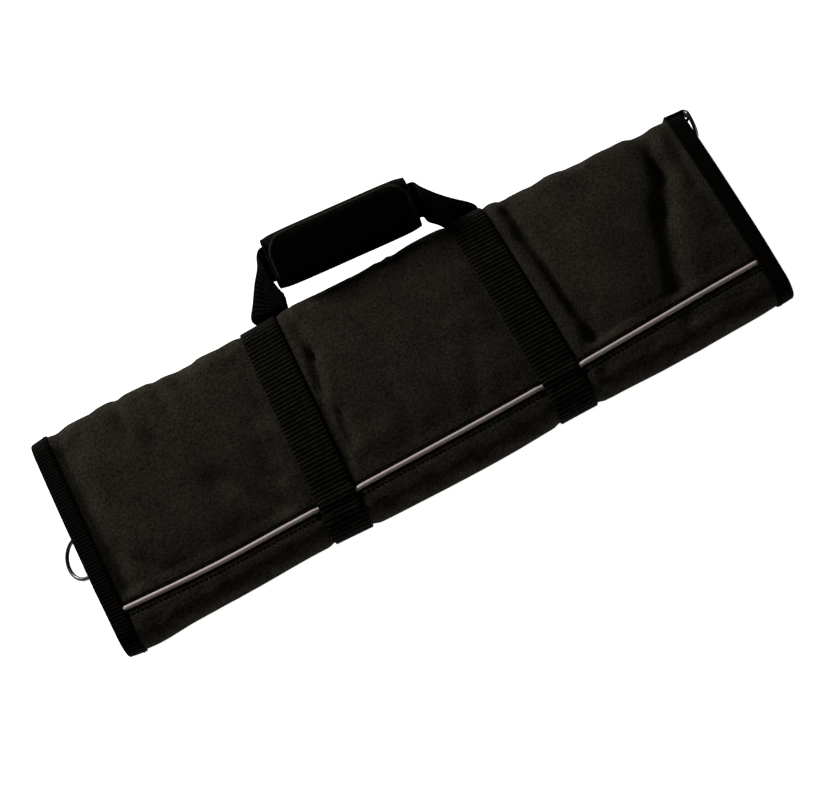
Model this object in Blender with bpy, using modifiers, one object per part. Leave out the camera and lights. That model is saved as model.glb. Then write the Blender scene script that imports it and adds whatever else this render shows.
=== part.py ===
"""Chef knife roll: a padded sheet rolled flat, bound at both ends and held shut by two webbing straps.

Metres, +Z up. The roll lies on its back. X runs along the roll, +Y points to the side with the handle,
and the origin is the middle of the back, on the surface that the roll rests on.
"""

import math
from collections import namedtuple

import bmesh
import bpy
from mathutils import Matrix, Vector

MM = 0.001

# Roll
ROLL_LENGTH = 490 * MM
ROLL_WIDTH = 166 * MM
ROLL_HEIGHT = 32 * MM
SHEET_THICKNESS = 3 * MM
FAR_FOLD_REACH = 15 * MM
NEAR_FOLD_REACH = 14 * MM
FREE_EDGE_Y = -40 * MM
INNER_END_Y = 45 * MM
LAP_RISE_LENGTH = 12 * MM
LAP_RISE_STEPS = (0.0, 0.35, 0.7, 1.0)
LAP_GAP = 0.6 * MM
CLEARANCE = 0.3 * MM

# End bindings
TAPE_THICKNESS = 1 * MM
TAPE_COVER = 12 * MM

# Straps and handle webbing
WEBBING_WIDTH = 25.4 * MM
WEBBING_THICKNESS = 1.5 * MM
STRAP_LEFT_X = -77.5 * MM
STRAP_RIGHT_X = 83.5 * MM
STRAP_LEFT_SLANT = 0.044
STRAP_RIGHT_SLANT = -0.019
STRAP_PINCH = 1.2 * MM
PINCH_BLEND = 6 * MM

# Piping across the front
PIPING_RADIUS = 1.6 * MM
PIPING_PROUD = 1.3 * MM
PIPING_END_GAP = 4 * MM
GROOVE_END_GAP = 1.5 * MM
GROOVE_HALF_WIDTH = 3.4 * MM
GROOVE_STEP = 2.2 * MM
GROOVE_STEP_DEPTH = 1.3 * MM
GROOVE_SPARE = 0.75 * MM
STRAP_BUMP_LENGTH = 4 * MM

# Handle
HANDLE_TILT = math.radians(48)
HANDLE_ROOT_ABOVE = 16 * MM
GRIP_LENGTH = 104 * MM
GRIP_X = 4.3 * MM
GRIP_RISE = 30.5 * MM
GRIP_TURN = math.radians(-3.8)
GRIP_PADDING = 5.2 * MM
GRIP_SLOT_MARGIN = 0.9 * MM
FLAP_THICKNESS = 2 * MM
FLAP_SHORTER = 5 * MM
FLAP_CORNER = 9 * MM
FLAP_ROWS = (2, 15)

# D-rings and their tabs
RING_INSIDE_WIDTH = 25.4 * MM
RING_WIRE_RADIUS = 1.4 * MM
RING_CORNER = 2.5 * MM
TAB_THICKNESS = 1.2 * MM
TAB_LEG = 12 * MM
LEFT_TAB_WIDTH = 20 * MM
LEFT_RING_Y = -6 * MM
LEFT_RING_INSET = 1.6 * MM
LEFT_RING_DROOP = math.radians(33)
RIGHT_RING_SWING = math.radians(-88)

# Mesh density
COLUMN_SPACING = 15 * MM
LEAST_COLUMN_GAP = 4 * MM
FRONT_ROWS = 10
BAND_ROWS = 2
FOLD_ROWS = 7
BACK_ROWS = 3
WEBBING_STEPS = 3
RING_CORNER_STEPS = 4
RING_BOW_STEPS = 12
TAB_BEND_STEPS = 6
GRIP_AROUND = 32
GRIP_STEPS = 4
FLAP_STEPS = 6

# Tables. Every length is a share of a named size.
Outline = namedtuple("Outline", "along reach")
FAR_EDGE = (
    Outline(-1.00, 0.958), Outline(-0.94, 0.978), Outline(-0.82, 0.992), Outline(-0.62, 0.986),
    Outline(-0.44, 0.972), Outline(-0.17, 1.000), Outline(0.26, 1.000), Outline(0.47, 0.992),
    Outline(0.63, 0.976), Outline(0.80, 0.952), Outline(0.94, 0.928), Outline(1.00, 0.915),
)
NEAR_EDGE = (
    Outline(-1.00, 0.968), Outline(-0.94, 0.990), Outline(-0.80, 0.976), Outline(-0.60, 0.966),
    Outline(-0.44, 0.950), Outline(-0.17, 0.970), Outline(0.15, 0.966), Outline(0.28, 0.945),
    Outline(0.44, 0.940), Outline(0.60, 0.945), Outline(0.80, 0.930), Outline(0.94, 0.912), Outline(1.00, 0.898),
)
PIPING_LINE = (
    Outline(-1.00, 0.665), Outline(-0.90, 0.682), Outline(-0.70, 0.709), Outline(-0.43, 0.701),
    Outline(-0.12, 0.693), Outline(0.20, 0.676), Outline(0.55, 0.635), Outline(0.92, 0.583), Outline(1.00, 0.575),
)
CROWN_ACROSS = (
    Outline(-1.00, 0.800), Outline(-0.70, 0.890), Outline(-0.45, 0.975), Outline(-0.10, 1.000),
    Outline(0.40, 0.995), Outline(0.75, 0.935), Outline(1.00, 0.900),
)
CROWN_ALONG = (
    Outline(-1.00, 0.920), Outline(-0.80, 0.975), Outline(-0.45, 1.000), Outline(0.45, 1.000),
    Outline(0.80, 0.965), Outline(1.00, 0.910),
)

# Folds of the front: both ends as shares of half the length and half the width, then depth and half width
# as shares of the roll's height. A step lies mostly on one side, towards +X: its shallow side has this share
# of its depth, and the two sides reach these multiples of its half width.
STEP_RISE_SHARE = 0.4
STEP_RISE_REACH = 0.5
STEP_FALL_REACH = 2.2
Fold = namedtuple("Fold", "kind x0 y0 x1 y1 depth half_width")
FRONT_FOLDS = (
    Fold("step", 0.445, 0.92, 0.452, -0.58, 0.060, 0.34),
    Fold("valley", -0.214, 0.68, -0.224, 0.20, 0.075, 0.30),
    Fold("valley", -0.214, -0.12, -0.214, -0.34, 0.065, 0.28),
    Fold("valley", -0.262, -0.02, -0.262, -0.42, 0.050, 0.24),
    Fold("valley", 0.870, 0.82, 0.861, 0.44, 0.075, 0.44),
    Fold("valley", 0.861, 0.44, 0.808, 0.16, 0.060, 0.44),
    Fold("valley", 0.808, 0.16, 0.735, -0.50, 0.075, 0.46),
    Fold("valley", -0.686, 0.41, -0.571, -0.14, 0.070, 0.42),
    Fold("valley", -0.571, -0.14, -0.478, -0.53, 0.065, 0.42),
    Fold("valley", -0.543, 0.82, -0.425, 0.26, 0.055, 0.38),
    Fold("valley", -0.747, 0.84, -0.742, 0.60, 0.050, 0.30),
    Fold("valley", -0.925, 0.56, -0.925, -0.46, 0.095, 0.24),
)

# Handle webbing between a strap and the grip. x and rise place the strip's middle on the handle's plane,
# in webbing widths from the strap's root and up from it. turn is the strip's width direction in that
# plane, and twist its lean out of it.
Station = namedtuple("Station", "x rise turn twist")
LEFT_WEBBING = (
    Station(0.02, 0.25, 0, 0), Station(0.08, 0.56, -22, 16), Station(0.20, 0.86, -48, 28),
    Station(0.36, 1.16, -74, 16),
)
RIGHT_WEBBING = (
    Station(0.00, 0.12, -180, 0), Station(-0.14, 0.30, -164, 24), Station(-0.36, 0.50, -142, 46),
    Station(-0.58, 0.72, -122, 44), Station(-0.77, 0.93, -106, 24),
)
LEFT_ROOT_X = -64 * MM
RIGHT_ROOT_X = 83 * MM
ROOT_FOLD_ANGLES = (-46, -30, -12)

# Where the strip passes through the grip, as shares of the grip's length from its middle
GRIP_STATIONS = (-0.53, -0.42, 0.0, 0.42, 0.53)

COLOURS = {
    "roll": ((0.010, 0.009, 0.007), 0.85, 0.0),
    "webbing": ((0.006, 0.006, 0.005), 0.75, 0.0),
    "piping": ((0.27, 0.22, 0.21), 0.45, 0.0),
    "metal": ((0.30, 0.28, 0.27), 0.30, 1.0),
}


def interpolate(table, share):
    """The table's reach at this share, straight between its rows."""
    if share <= table[0].along:
        return table[0].reach
    for low, high in zip(table, table[1:]):
        if share <= high.along:
            part = (share - low.along) / (high.along - low.along)
            return low.reach + (high.reach - low.reach) * part
    return table[-1].reach


def smooth(value):
    """0 below 0, 1 above 1, with a smooth rise between."""
    value = min(1.0, max(0.0, value))
    return value * value * (3 - 2 * value)


def strap_slant(x):
    """How far a column of the sheet leans per metre of Y, so that columns run along the straps."""
    half = ROLL_LENGTH / 2
    knots = (
        Outline(-half, 0), Outline(STRAP_LEFT_X, STRAP_LEFT_SLANT),
        Outline(STRAP_RIGHT_X, STRAP_RIGHT_SLANT), Outline(half, 0),
    )
    return interpolate(knots, x)


def strap_closeness(x):
    """1 under a strap, 0 away from it."""
    reach = WEBBING_WIDTH / 2 + CLEARANCE
    distance = min(abs(x - STRAP_LEFT_X), abs(x - STRAP_RIGHT_X))
    return 1 - smooth((distance - reach) / PINCH_BLEND)


def end_closeness(x):
    """1 under an end binding, 0 away from it."""
    distance = ROLL_LENGTH / 2 - abs(x)
    return 1 - smooth((distance - TAPE_COVER) / TAPE_COVER)


def sheet_end():
    """Distance from the middle to the sheet's own end, inside its binding."""
    return ROLL_LENGTH / 2 - TAPE_THICKNESS - CLEARANCE


def tape_edge():
    """Distance from the middle to a binding's inner edge."""
    return ROLL_LENGTH / 2 - TAPE_COVER


def back_level(x):
    """Height of the sheet's underside: the straps and the bindings lie flush under it."""
    under_strap = (WEBBING_THICKNESS + CLEARANCE) * strap_closeness(x)
    under_tape = (TAPE_THICKNESS + CLEARANCE) * end_closeness(x)
    return max(under_strap, under_tape)


def edge(table, x, side):
    """Y of an outline of the roll at x, drawn in under a strap."""
    share = interpolate(table, 2 * x / ROLL_LENGTH)
    return side * (share * ROLL_WIDTH / 2 - STRAP_PINCH * strap_closeness(x))


def piping_y(x):
    return -interpolate(PIPING_LINE, 2 * x / ROLL_LENGTH) * ROLL_WIDTH / 2


def fold_depth(fold, x, y):
    """How far one fold lowers the front at x, y."""
    ax, ay = fold.x0 * ROLL_LENGTH / 2, fold.y0 * ROLL_WIDTH / 2
    bx, by = fold.x1 * ROLL_LENGTH / 2, fold.y1 * ROLL_WIDTH / 2
    along = Vector((bx - ax, by - ay))
    part = ((x - ax) * along.x + (y - ay) * along.y) / along.length_squared
    near = min(1.0, max(0.0, part))
    aside = Vector((x - ax - along.x * near, y - ay - along.y * near))
    half_width = fold.half_width * ROLL_HEIGHT
    depth = fold.depth * ROLL_HEIGHT
    if fold.kind == "step" and aside.x < 0:
        return depth * STEP_RISE_SHARE * (1 - smooth(-aside.x / (half_width * STEP_RISE_REACH)))
    reach = half_width * (STEP_FALL_REACH if fold.kind == "step" else 1)
    return depth * (1 - smooth(aside.length / reach))


def front_level(x, y):
    """Height of the front at x, y: a crown, less its folds and the straps' pinch."""
    across = interpolate(CROWN_ACROSS, 2 * y / ROLL_WIDTH)
    along = interpolate(CROWN_ALONG, 2 * x / ROLL_LENGTH)
    folds = sum(fold_depth(fold, x, y) for fold in FRONT_FOLDS)
    quiet = max(strap_closeness(x), end_closeness(x))
    return ROLL_HEIGHT * across * along - folds * (1 - quiet) - STRAP_PINCH * strap_closeness(x)


def fold_angles():
    """Angles of a fold's rows, from its underside to its top."""
    return [math.pi * (i / FOLD_ROWS - 0.5) for i in range(FOLD_ROWS + 1)]


def fold_point(x, angle, side):
    """A point (y, z) on the far (+1) or near (-1) fold, by its angle above the fold's middle."""
    table, reach = (FAR_EDGE, FAR_FOLD_REACH) if side > 0 else (NEAR_EDGE, NEAR_FOLD_REACH)
    outermost = edge(table, x, side)
    centre_y = outermost - side * reach
    low, high = back_level(x), front_level(x, centre_y)
    y = centre_y + side * reach * math.cos(angle)
    z = (low + high) / 2 + (high - low) / 2 * math.sin(angle)
    return Vector((y, z))


def groove(x, offset):
    """Depth of the front's groove under the piping, at this distance from its middle."""
    bottom = 2 * PIPING_RADIUS - PIPING_PROUD + GROOVE_SPARE
    inside = smooth((tape_edge() - GROOVE_END_GAP - abs(x)) / (PIPING_END_GAP - GROOVE_END_GAP))
    if abs(offset) >= GROOVE_HALF_WIDTH:
        return 0.0
    if abs(offset) >= GROOVE_STEP:
        part = (GROOVE_HALF_WIDTH - abs(offset)) / (GROOVE_HALF_WIDTH - GROOVE_STEP)
        return GROOVE_STEP_DEPTH * part * inside
    part = 1 - abs(offset) / GROOVE_STEP
    return (GROOVE_STEP_DEPTH + (bottom - GROOVE_STEP_DEPTH) * part) * inside


def front_rows(x):
    """Y of the front's rows at x, from the far fold to the near one, with five at the piping."""
    start = edge(FAR_EDGE, x, 1) - FAR_FOLD_REACH
    stop = edge(NEAR_EDGE, x, -1) + NEAR_FOLD_REACH
    middle = piping_y(x)
    stop = min(stop, middle - GROOVE_HALF_WIDTH - CLEARANCE)
    upper = middle + GROOVE_HALF_WIDTH
    lower = middle - GROOVE_HALF_WIDTH
    rows = [start + (upper - start) * i / FRONT_ROWS for i in range(1, FRONT_ROWS)]
    rows += [middle + step for step in (GROOVE_HALF_WIDTH, GROOVE_STEP, 0, -GROOVE_STEP, -GROOVE_HALF_WIDTH)]
    rows += [lower + (stop - lower) * i / BAND_ROWS for i in range(1, BAND_ROWS)]
    return rows


def lap_level(x):
    """Height of the inner layer's underside, over the back layer and the tapes between them."""
    tapes = (2 * (TAPE_THICKNESS + CLEARANCE) + CLEARANCE) * end_closeness(x)
    return back_level(x) + SHEET_THICKNESS + max(LAP_GAP, tapes)


def section(x):
    """The sheet's outer face at x, as (y, z) points from its free edge round to its inner end."""
    far = [fold_point(x, angle, 1) for angle in fold_angles()]
    near = [fold_point(x, -angle, -1) for angle in fold_angles()]
    back = back_level(x)
    points = []
    for i in range(BACK_ROWS):
        y = FREE_EDGE_Y + (far[0].x - FREE_EDGE_Y) * i / BACK_ROWS
        points.append(Vector((y, back)))
    points += far
    for y in front_rows(x):
        points.append(Vector((y, front_level(x, y) - groove(x, y - piping_y(x)))))
    points += near
    lap_stop = FREE_EDGE_Y - LAP_GAP - 2 * TAPE_THICKNESS
    lap_start = lap_stop - LAP_RISE_LENGTH
    for part in LAP_RISE_STEPS:
        z = back + (lap_level(x) - back) * smooth(part)
        points.append(Vector((lap_start + LAP_RISE_LENGTH * part, z)))
    for i in range(1, BACK_ROWS + 1):
        y = lap_stop + (INNER_END_Y - lap_stop) * i / BACK_ROWS
        points.append(Vector((y, lap_level(x))))
    return points


def normals_in(points):
    """Unit normals of an open (y, z) path, pointing to its left, which is the roll's inside."""
    found = []
    for i in range(len(points)):
        ahead = points[min(i + 1, len(points) - 1)]
        behind = points[max(i - 1, 0)]
        run = (ahead - behind).normalized()
        found.append(Vector((-run.y, run.x)))
    return found


def place(x, point):
    """World position of a section's point, with the column's lean along the straps."""
    return Vector((x + strap_slant(x) * point.x, point.x, point.y))


def column_places():
    """X of the sheet's columns: even runs, with columns added at the straps, the bindings and the folds."""
    end = sheet_end()
    middle = (end + tape_edge()) / 2
    reach = WEBBING_WIDTH / 2 + CLEARANCE
    fixed = []
    for place_x in (end, middle, tape_edge(), tape_edge() - GROOVE_END_GAP, tape_edge() - PIPING_END_GAP):
        fixed += [-place_x, place_x]
    for x in (STRAP_LEFT_X, STRAP_RIGHT_X):
        fixed += [x - reach - PINCH_BLEND, x - reach, x, x + reach, x + reach + PINCH_BLEND]
    for fold in FRONT_FOLDS:
        x = (fold.x0 + fold.x1) / 2 * ROLL_LENGTH / 2
        if min(abs(x - other) for other in fixed) > LEAST_COLUMN_GAP:
            fixed.append(x)
    fixed.sort()
    columns = []
    for low, high in zip(fixed, fixed[1:]):
        steps = max(1, round((high - low) / COLUMN_SPACING))
        columns += [low + (high - low) * i / steps for i in range(steps)]
    return columns + [fixed[-1]]


def material(name):
    """One plain surface for each kind of piece."""
    colour, roughness, metallic = COLOURS[name]
    found = bpy.data.materials.get(name) or bpy.data.materials.new(name)
    found.use_nodes = True
    shader = found.node_tree.nodes["Principled BSDF"]
    shader.inputs["Base Color"].default_value = (*colour, 1)
    shader.inputs["Roughness"].default_value = roughness
    shader.inputs["Metallic"].default_value = metallic
    return found


def add_object(name, data, finish):
    piece = bpy.data.objects.new(name, data)
    bpy.data.collections["knife_roll"].objects.link(piece)
    data.materials.append(material(finish))
    return piece


def sheet(name, grid, thickness, offset, finish, closed=False, even=False):
    """A solid sheet from rows of points. Its faces look along row x column, and offset 1 thickens it that way."""
    mesh = bpy.data.meshes.new(name)
    build = bmesh.new()
    rows = [[build.verts.new(point) for point in row] for row in grid]
    if closed:
        rows.append(rows[0])
    for upper, lower in zip(rows, rows[1:]):
        for i in range(len(upper) - 1):
            build.faces.new((upper[i], upper[i + 1], lower[i + 1], lower[i]))
    build.to_mesh(mesh)
    build.free()
    mesh.shade_smooth()
    piece = add_object(name, mesh, finish)
    wall = piece.modifiers.new("wall", "SOLIDIFY")
    wall.thickness = thickness
    wall.offset = offset
    wall.use_even_offset = even
    return piece


def roll_shell():
    columns = column_places()
    sections = [section(x) for x in columns]
    rows = len(sections[0])
    grid = [[place(x, points[i]) for x, points in zip(columns, sections)] for i in range(rows)]
    return sheet("roll_shell", grid, SHEET_THICKNESS, 1, "roll")


def end_binding(name, side):
    """Tape folded over one short end of the sheet, along the whole roll of its edge."""
    end = side * sheet_end()
    inner_x = side * tape_edge()
    middle_x = (end + inner_x) / 2
    outside, inside = -CLEARANCE, SHEET_THICKNESS + CLEARANCE
    past_end = end + side * CLEARANCE
    profile = (
        (inner_x, inner_x, outside), (middle_x, middle_x, outside), (past_end, end, outside),
        (past_end, end, inside), (middle_x, middle_x, inside), (inner_x, inner_x, inside),
    )
    grid = []
    for x, section_x, depth in profile:
        points = section(section_x)
        inward = normals_in(points)
        row = [point + normal * depth for point, normal in zip(points, inward)]
        grid.append([Vector((x, point.x, point.y)) for point in row])
    return sheet(name, grid, TAPE_THICKNESS, side, "webbing", even=True)


def piping():
    """The cord across the front, in its groove, as a tube with a point at each of the sheet's columns."""
    places = [x for x in column_places() if abs(x) <= tape_edge() - PIPING_END_GAP]
    curve = bpy.data.curves.new("piping", "CURVE")
    curve.dimensions = "3D"
    curve.bevel_depth = PIPING_RADIUS
    curve.bevel_resolution = 2
    curve.use_fill_caps = True
    spline = curve.splines.new("POLY")
    spline.points.add(len(places) - 1)
    for point, x in zip(spline.points, places):
        y = piping_y(x)
        z = front_level(x, y) + PIPING_PROUD - PIPING_RADIUS
        point.co = (*place(x, Vector((y, z))), 1)
    return add_object("piping", curve, "piping")


def strap_ring(x):
    """A strap's inner face at x, once round the roll, as (y, z) points from the middle of the back."""
    ring = [fold_point(x, angle, 1) for angle in fold_angles()]
    for y in front_rows(x):
        bump = PIPING_PROUD * math.exp(-(((y - piping_y(x)) / STRAP_BUMP_LENGTH) ** 2))
        ring.append(Vector((y, front_level(x, y) + bump)))
    ring += [fold_point(x, -angle, -1) for angle in fold_angles()]
    start, stop = ring[-1].x, ring[0].x
    ring += [Vector((start + (stop - start) * i / BACK_ROWS, back_level(x))) for i in range(1, BACK_ROWS)]
    return ring


def strap(name, centre):
    half = WEBBING_WIDTH / 2
    columns = [centre - half, centre, centre + half]
    rings = []
    for x in columns:
        ring = strap_ring(x)
        looped = [ring[-1], *ring, ring[0]]
        outward = [-normal for normal in normals_in(looped)[1:-1]]
        rings.append([place(x, point + out * CLEARANCE) for point, out in zip(ring, outward)])
    grid = [[ring[i] for ring in rings] for i in range(len(rings[0]))]
    return sheet(name, grid, WEBBING_THICKNESS, -1, "webbing", closed=True)


def handle_frame():
    """Axes of the handle's plane: along the roll, up the handle, and out of its front."""
    along = Vector((1, 0, 0))
    rise = Vector((0, math.cos(HANDLE_TILT), math.sin(HANDLE_TILT)))
    return along, rise, along.cross(rise)


def handle_point(x, rise, out=0.0):
    """World position on the handle's plane, which leaves the far fold's outer face."""
    along, up, front = handle_frame()
    root = Vector((0, edge(FAR_EDGE, 0, 1), HANDLE_ROOT_ABOVE))
    return root + along * x + up * rise + front * out


def width_direction(turn, twist):
    along, up, front = handle_frame()
    flat = along * math.cos(math.radians(turn)) + up * math.sin(math.radians(turn))
    return flat * math.cos(math.radians(twist)) + front * math.sin(math.radians(twist))


def root_stations(x):
    """Where the webbing lies against the far fold, over the strap: middle points, foot first."""
    stand_off = 2 * CLEARANCE + 1.5 * WEBBING_THICKNESS
    stations = []
    for degrees in ROOT_FOLD_ANGLES:
        angle = math.radians(degrees)
        point = fold_point(x, angle, 1)
        out = Vector((math.cos(angle), math.sin(angle)))
        stations.append(place(x, point + out * stand_off))
    return stations


def grip_axis(distance):
    """A point on the grip's middle line, at this distance from its middle."""
    return handle_point(GRIP_X + distance * math.cos(GRIP_TURN), GRIP_RISE + distance * math.sin(GRIP_TURN))


def smooth_path(points, widths, between):
    """Catmull-Rom points and width directions through the given ones."""
    path = []
    for i in range(len(points) - 1):
        keys = [max(i - 1, 0), i, i + 1, min(i + 2, len(points) - 1)]
        for step in range(between):
            t = step / between
            shares = (
                -0.5 * t + t**2 - 0.5 * t**3, 1 - 2.5 * t**2 + 1.5 * t**3,
                0.5 * t + 2 * t**2 - 1.5 * t**3, -0.5 * t**2 + 0.5 * t**3,
            )
            middle = sum((points[k] * share for k, share in zip(keys, shares)), Vector())
            width = sum((widths[k] * share for k, share in zip(keys, shares)), Vector())
            path.append((middle, width.normalized()))
    path.append((points[-1], widths[-1].normalized()))
    return path


def handle_webbing():
    """One strip from the left strap's fold, through the grip, to the right strap's fold."""
    along = handle_frame()[0]
    points, widths = [], []
    for point in root_stations(LEFT_ROOT_X):
        points.append(point)
        widths.append(along)
    for row in LEFT_WEBBING:
        points.append(handle_point(LEFT_ROOT_X + row.x * WEBBING_WIDTH, row.rise * WEBBING_WIDTH))
        widths.append(width_direction(row.turn, row.twist))
    across_grip = math.degrees(GRIP_TURN) - 90
    for share in GRIP_STATIONS:
        points.append(grip_axis(share * GRIP_LENGTH))
        widths.append(width_direction(across_grip, 0))
    for row in reversed(RIGHT_WEBBING):
        points.append(handle_point(RIGHT_ROOT_X + row.x * WEBBING_WIDTH, row.rise * WEBBING_WIDTH))
        widths.append(width_direction(row.turn, row.twist))
    for point in reversed(root_stations(RIGHT_ROOT_X)):
        points.append(point)
        widths.append(-along)
    half = WEBBING_WIDTH / 2
    grid = [
        [middle - width * half, middle, middle + width * half]
        for middle, width in smooth_path(points, widths, WEBBING_STEPS)
    ]
    return sheet("handle_webbing", grid, WEBBING_THICKNESS, 0, "webbing")


def grip_section(step, margin):
    """A point of the grip's flat oval outline, step by step from its foot up the front and down the back."""
    half = WEBBING_WIDTH / 2
    radius = WEBBING_THICKNESS / 2 + margin
    share = (step / GRIP_AROUND + 0.125) % 1.0
    if share < 0.25:
        angle = math.pi * (share / 0.25 - 0.5)
        return Vector((-half - radius * math.cos(angle), radius * math.sin(angle)))
    if share < 0.5:
        return Vector((half * (2 * (share - 0.25) / 0.25 - 1), radius))
    if share < 0.75:
        angle = math.pi * (0.5 - (share - 0.5) / 0.25)
        return Vector((half + radius * math.cos(angle), radius * math.sin(angle)))
    return Vector((half * (1 - 2 * (share - 0.75) / 0.25), -radius))


def grip_place(distance, point):
    """World position of a point of the grip's section."""
    front = handle_frame()[2]
    across = width_direction(math.degrees(GRIP_TURN) + 90, 0)
    return grip_axis(distance) + across * point.x + front * point.y


def grip_wrap():
    """The padded sleeve round the webbing, open at both ends."""
    columns = [GRIP_LENGTH * (i / GRIP_STEPS - 0.5) for i in range(GRIP_STEPS + 1)]
    outline = [grip_section(step, GRIP_SLOT_MARGIN) for step in range(GRIP_AROUND)]
    grid = [[grip_place(distance, point) for distance in columns] for point in outline]
    return sheet("grip_wrap", grid, GRIP_PADDING, 1, "roll", closed=True)


def grip_flap():
    """The flap on the grip's front, with rounded upper corners."""
    margin = GRIP_SLOT_MARGIN + GRIP_PADDING + CLEARANCE
    first, last = FLAP_ROWS
    grid = []
    for step in range(first, last + 1):
        point = grip_section(step, margin)
        top = grip_section(last, margin).x
        into_corner = max(0.0, FLAP_CORNER - (top - point.x)) / FLAP_CORNER
        shorter = FLAP_CORNER * (1 - math.sqrt(max(0.0, 1 - into_corner**2)))
        half = (GRIP_LENGTH - FLAP_SHORTER) / 2 - shorter
        grid.append([grip_place(half * (2 * k / FLAP_STEPS - 1), point) for k in range(FLAP_STEPS + 1)])
    return sheet("grip_flap", grid, FLAP_THICKNESS, 1, "roll")


def ring_outline():
    """The D-ring's wire as points (along its bar, out from it)."""
    half = RING_INSIDE_WIDTH / 2 + RING_WIRE_RADIUS
    corner = []
    for i in range(RING_CORNER_STEPS + 1):
        angle = math.pi / 2 * (i / RING_CORNER_STEPS - 1)
        along = half - RING_CORNER + RING_CORNER * math.cos(angle)
        corner.append((along, RING_CORNER + RING_CORNER * math.sin(angle)))
    points = list(corner)
    for i in range(RING_BOW_STEPS + 1):
        angle = math.pi * i / RING_BOW_STEPS
        points.append((half * math.cos(angle), RING_CORNER + half * math.sin(angle)))
    points += [(-x, y) for x, y in reversed(corner)]
    return points


def ring_frame(centre, bar, out):
    """Object matrix with the bar along its X and the ring's bow along its Y."""
    matrix = Matrix((bar, out, bar.cross(out))).transposed().to_4x4()
    matrix.translation = centre
    return matrix


def d_ring(name, centre, bar, out):
    """A closed wire whose origin is the middle of its bar, which is its hinge's axis."""
    curve = bpy.data.curves.new(name, "CURVE")
    curve.dimensions = "3D"
    curve.bevel_depth = RING_WIRE_RADIUS
    curve.bevel_resolution = 2
    outline = ring_outline()
    spline = curve.splines.new("POLY")
    spline.points.add(len(outline) - 1)
    spline.use_cyclic_u = True
    for point, (along, away) in zip(spline.points, outline):
        point.co = (along, away, 0, 1)
    piece = add_object(name, curve, "metal")
    piece.matrix_world = ring_frame(centre, bar, out)
    return piece


def tab_profile(side, bar_x, depth, radius, leg):
    """A tab's inner face as (x, depth) points: one leg in, round the bar, and the other leg back."""
    foot = bar_x - side * leg
    points = [(foot, depth - radius)]
    for i in range(TAB_BEND_STEPS + 1):
        angle = math.pi * (i / TAB_BEND_STEPS - 0.5)
        points.append((bar_x + side * radius * math.cos(angle), depth + radius * math.sin(angle)))
    points.append((foot, depth + radius))
    return points


def tab_sheet(name, profile, path, side):
    """The profile carried along a short path of the sheet's edge."""
    inward = normals_in(path)
    grid = []
    for x, depth in profile:
        row = [point + normal * depth for point, normal in zip(path, inward)]
        grid.append([Vector((x, point.x, point.y)) for point in row])
    return sheet(name, grid, TAB_THICKNESS, side, "webbing", even=True)


def left_ring():
    """The ring that droops over the left end, its tab flat on the inner layer."""
    side = -1
    end = side * ROLL_LENGTH / 2
    radius = RING_WIRE_RADIUS + CLEARANCE
    depth = SHEET_THICKNESS + TAPE_THICKNESS + 2 * CLEARANCE + TAB_THICKNESS + radius
    bar_x = end - side * LEFT_RING_INSET
    level = lap_level(end)
    half = LEFT_TAB_WIDTH / 2
    path = [Vector((LEFT_RING_Y + half * share, level)) for share in (-1, 0, 1)]
    tab_sheet("ring_tab_left", tab_profile(side, bar_x, depth, radius, TAB_LEG), path, side)
    centre = Vector((bar_x, LEFT_RING_Y, level + depth))
    out = Vector((-math.cos(LEFT_RING_DROOP), 0, -math.sin(LEFT_RING_DROOP)))
    d_ring("d_ring_left", centre, Vector((0, 1, 0)), out)


def right_tab_line(x, inward):
    """The right tab's (y, z) points at x, this far in from the far fold's outer face, round its middle rows."""
    middle = FOLD_ROWS // 2
    angles = fold_angles()[middle - 1:middle + 4]
    arc = [fold_point(min(x, sheet_end()), angle, 1) for angle in angles]
    return [point + normal * inward for point, normal in zip(arc, normals_in(arc))][1:-1]


def right_ring():
    """The ring at the far right corner, its tab folded over the bound end of the far fold."""
    side = 1
    end = ROLL_LENGTH / 2
    depth = SHEET_THICKNESS / 2
    radius = depth + TAPE_THICKNESS + 2 * CLEARANCE
    bar_x = end + CLEARANCE + RING_WIRE_RADIUS + CLEARANCE
    grid = []
    for x, inward in tab_profile(side, bar_x - RING_WIRE_RADIUS / 2, depth, radius, TAB_LEG):
        grid.append([Vector((x, *point)) for point in right_tab_line(x, inward)])
    sheet("ring_tab_right", grid, TAB_THICKNESS, side, "webbing", even=True)
    first, top, last = right_tab_line(bar_x, depth)
    chord = (last - first).normalized()
    middle = (top + (first + last) / 2) / 2
    bar = Vector((0, chord.x, chord.y))
    outward = bar.cross(Vector((1, 0, 0)))
    out = Vector((1, 0, 0)) * math.cos(RIGHT_RING_SWING) + outward * math.sin(RIGHT_RING_SWING)
    d_ring("d_ring_right", Vector((bar_x, middle.x, middle.y)), bar, out)


def clear_scene():
    for old in list(bpy.data.objects):
        bpy.data.objects.remove(old, do_unlink=True)
    roll = bpy.data.collections.new("knife_roll")
    bpy.context.scene.collection.children.link(roll)


clear_scene()
roll_shell()
end_binding("binding_left", -1)
end_binding("binding_right", 1)
piping()
strap("strap_left", STRAP_LEFT_X)
strap("strap_right", STRAP_RIGHT_X)
handle_webbing()
grip_wrap()
grip_flap()
left_ring()
right_ring()
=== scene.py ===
import math

import bmesh
import bpy
import numpy as np
from mathutils import Matrix, Vector


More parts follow.
